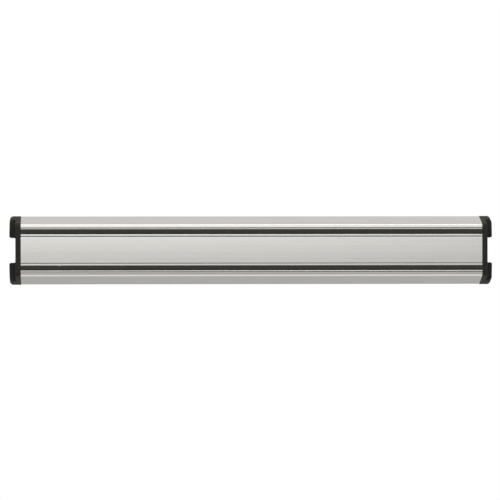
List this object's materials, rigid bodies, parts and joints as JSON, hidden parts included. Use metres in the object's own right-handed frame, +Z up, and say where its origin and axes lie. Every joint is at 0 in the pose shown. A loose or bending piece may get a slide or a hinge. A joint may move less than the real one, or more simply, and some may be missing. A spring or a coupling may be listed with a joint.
{
  "type": "magnetic knife rack",
  "caption": "Wall-mounted magnetic knife bar: a C-shaped aluminium rail with sloping flanks, two black pole strips, a cover strip and notched black end caps.",
  "frame": {"origin": "on the wall plane, at mid-length and mid-height, midway between the two hanging screws", "axes": "+X along the rack to the right as seen from the front, +Y into the wall, +Z up"},
  "size_m": [0.3, 0.02, 0.0426],
  "materials": {
    "rail_aluminium": "natural anodised, fine lengthwise grain, satin",
    "cover_aluminium": "natural anodised, fine lengthwise grain, satin",
    "pole_steel": "black coated steel, semi-matt",
    "ferrite": "ground dark grey ferrite, matt",
    "tape": "translucent white adhesive tape",
    "cap_plastic": "black moulded plastic, fine grain, semi-matt"
  },
  "bodies": {
    "rack": {"rail_profile": "rail_aluminium", "cover_strip": "cover_aluminium", "cover_tape": "tape", "pole_strip_upper": "pole_steel", "pole_strip_lower": "pole_steel", "magnet_01": "ferrite", "magnet_02": "ferrite", "magnet_03": "ferrite", "magnet_04": "ferrite", "magnet_05": "ferrite", "magnet_06": "ferrite", "magnet_07": "ferrite", "magnet_08": "ferrite", "magnet_09": "ferrite", "magnet_10": "ferrite", "magnet_11": "ferrite", "magnet_12": "ferrite", "magnet_13": "ferrite", "magnet_14": "ferrite"},
    "cap_left": {"end_cap_left": "cap_plastic"},
    "cap_right": {"end_cap_right": "cap_plastic"}
  },
  "joints": [
    {"name": "cap_left_pull", "type": "slide", "parent": "rack", "child": "cap_left", "axis": [-1, 0, 0], "range_m": [0, 0.02]},
    {"name": "cap_right_pull", "type": "slide", "parent": "rack", "child": "cap_right", "axis": [1, 0, 0], "range_m": [0, 0.02]}
  ]
}
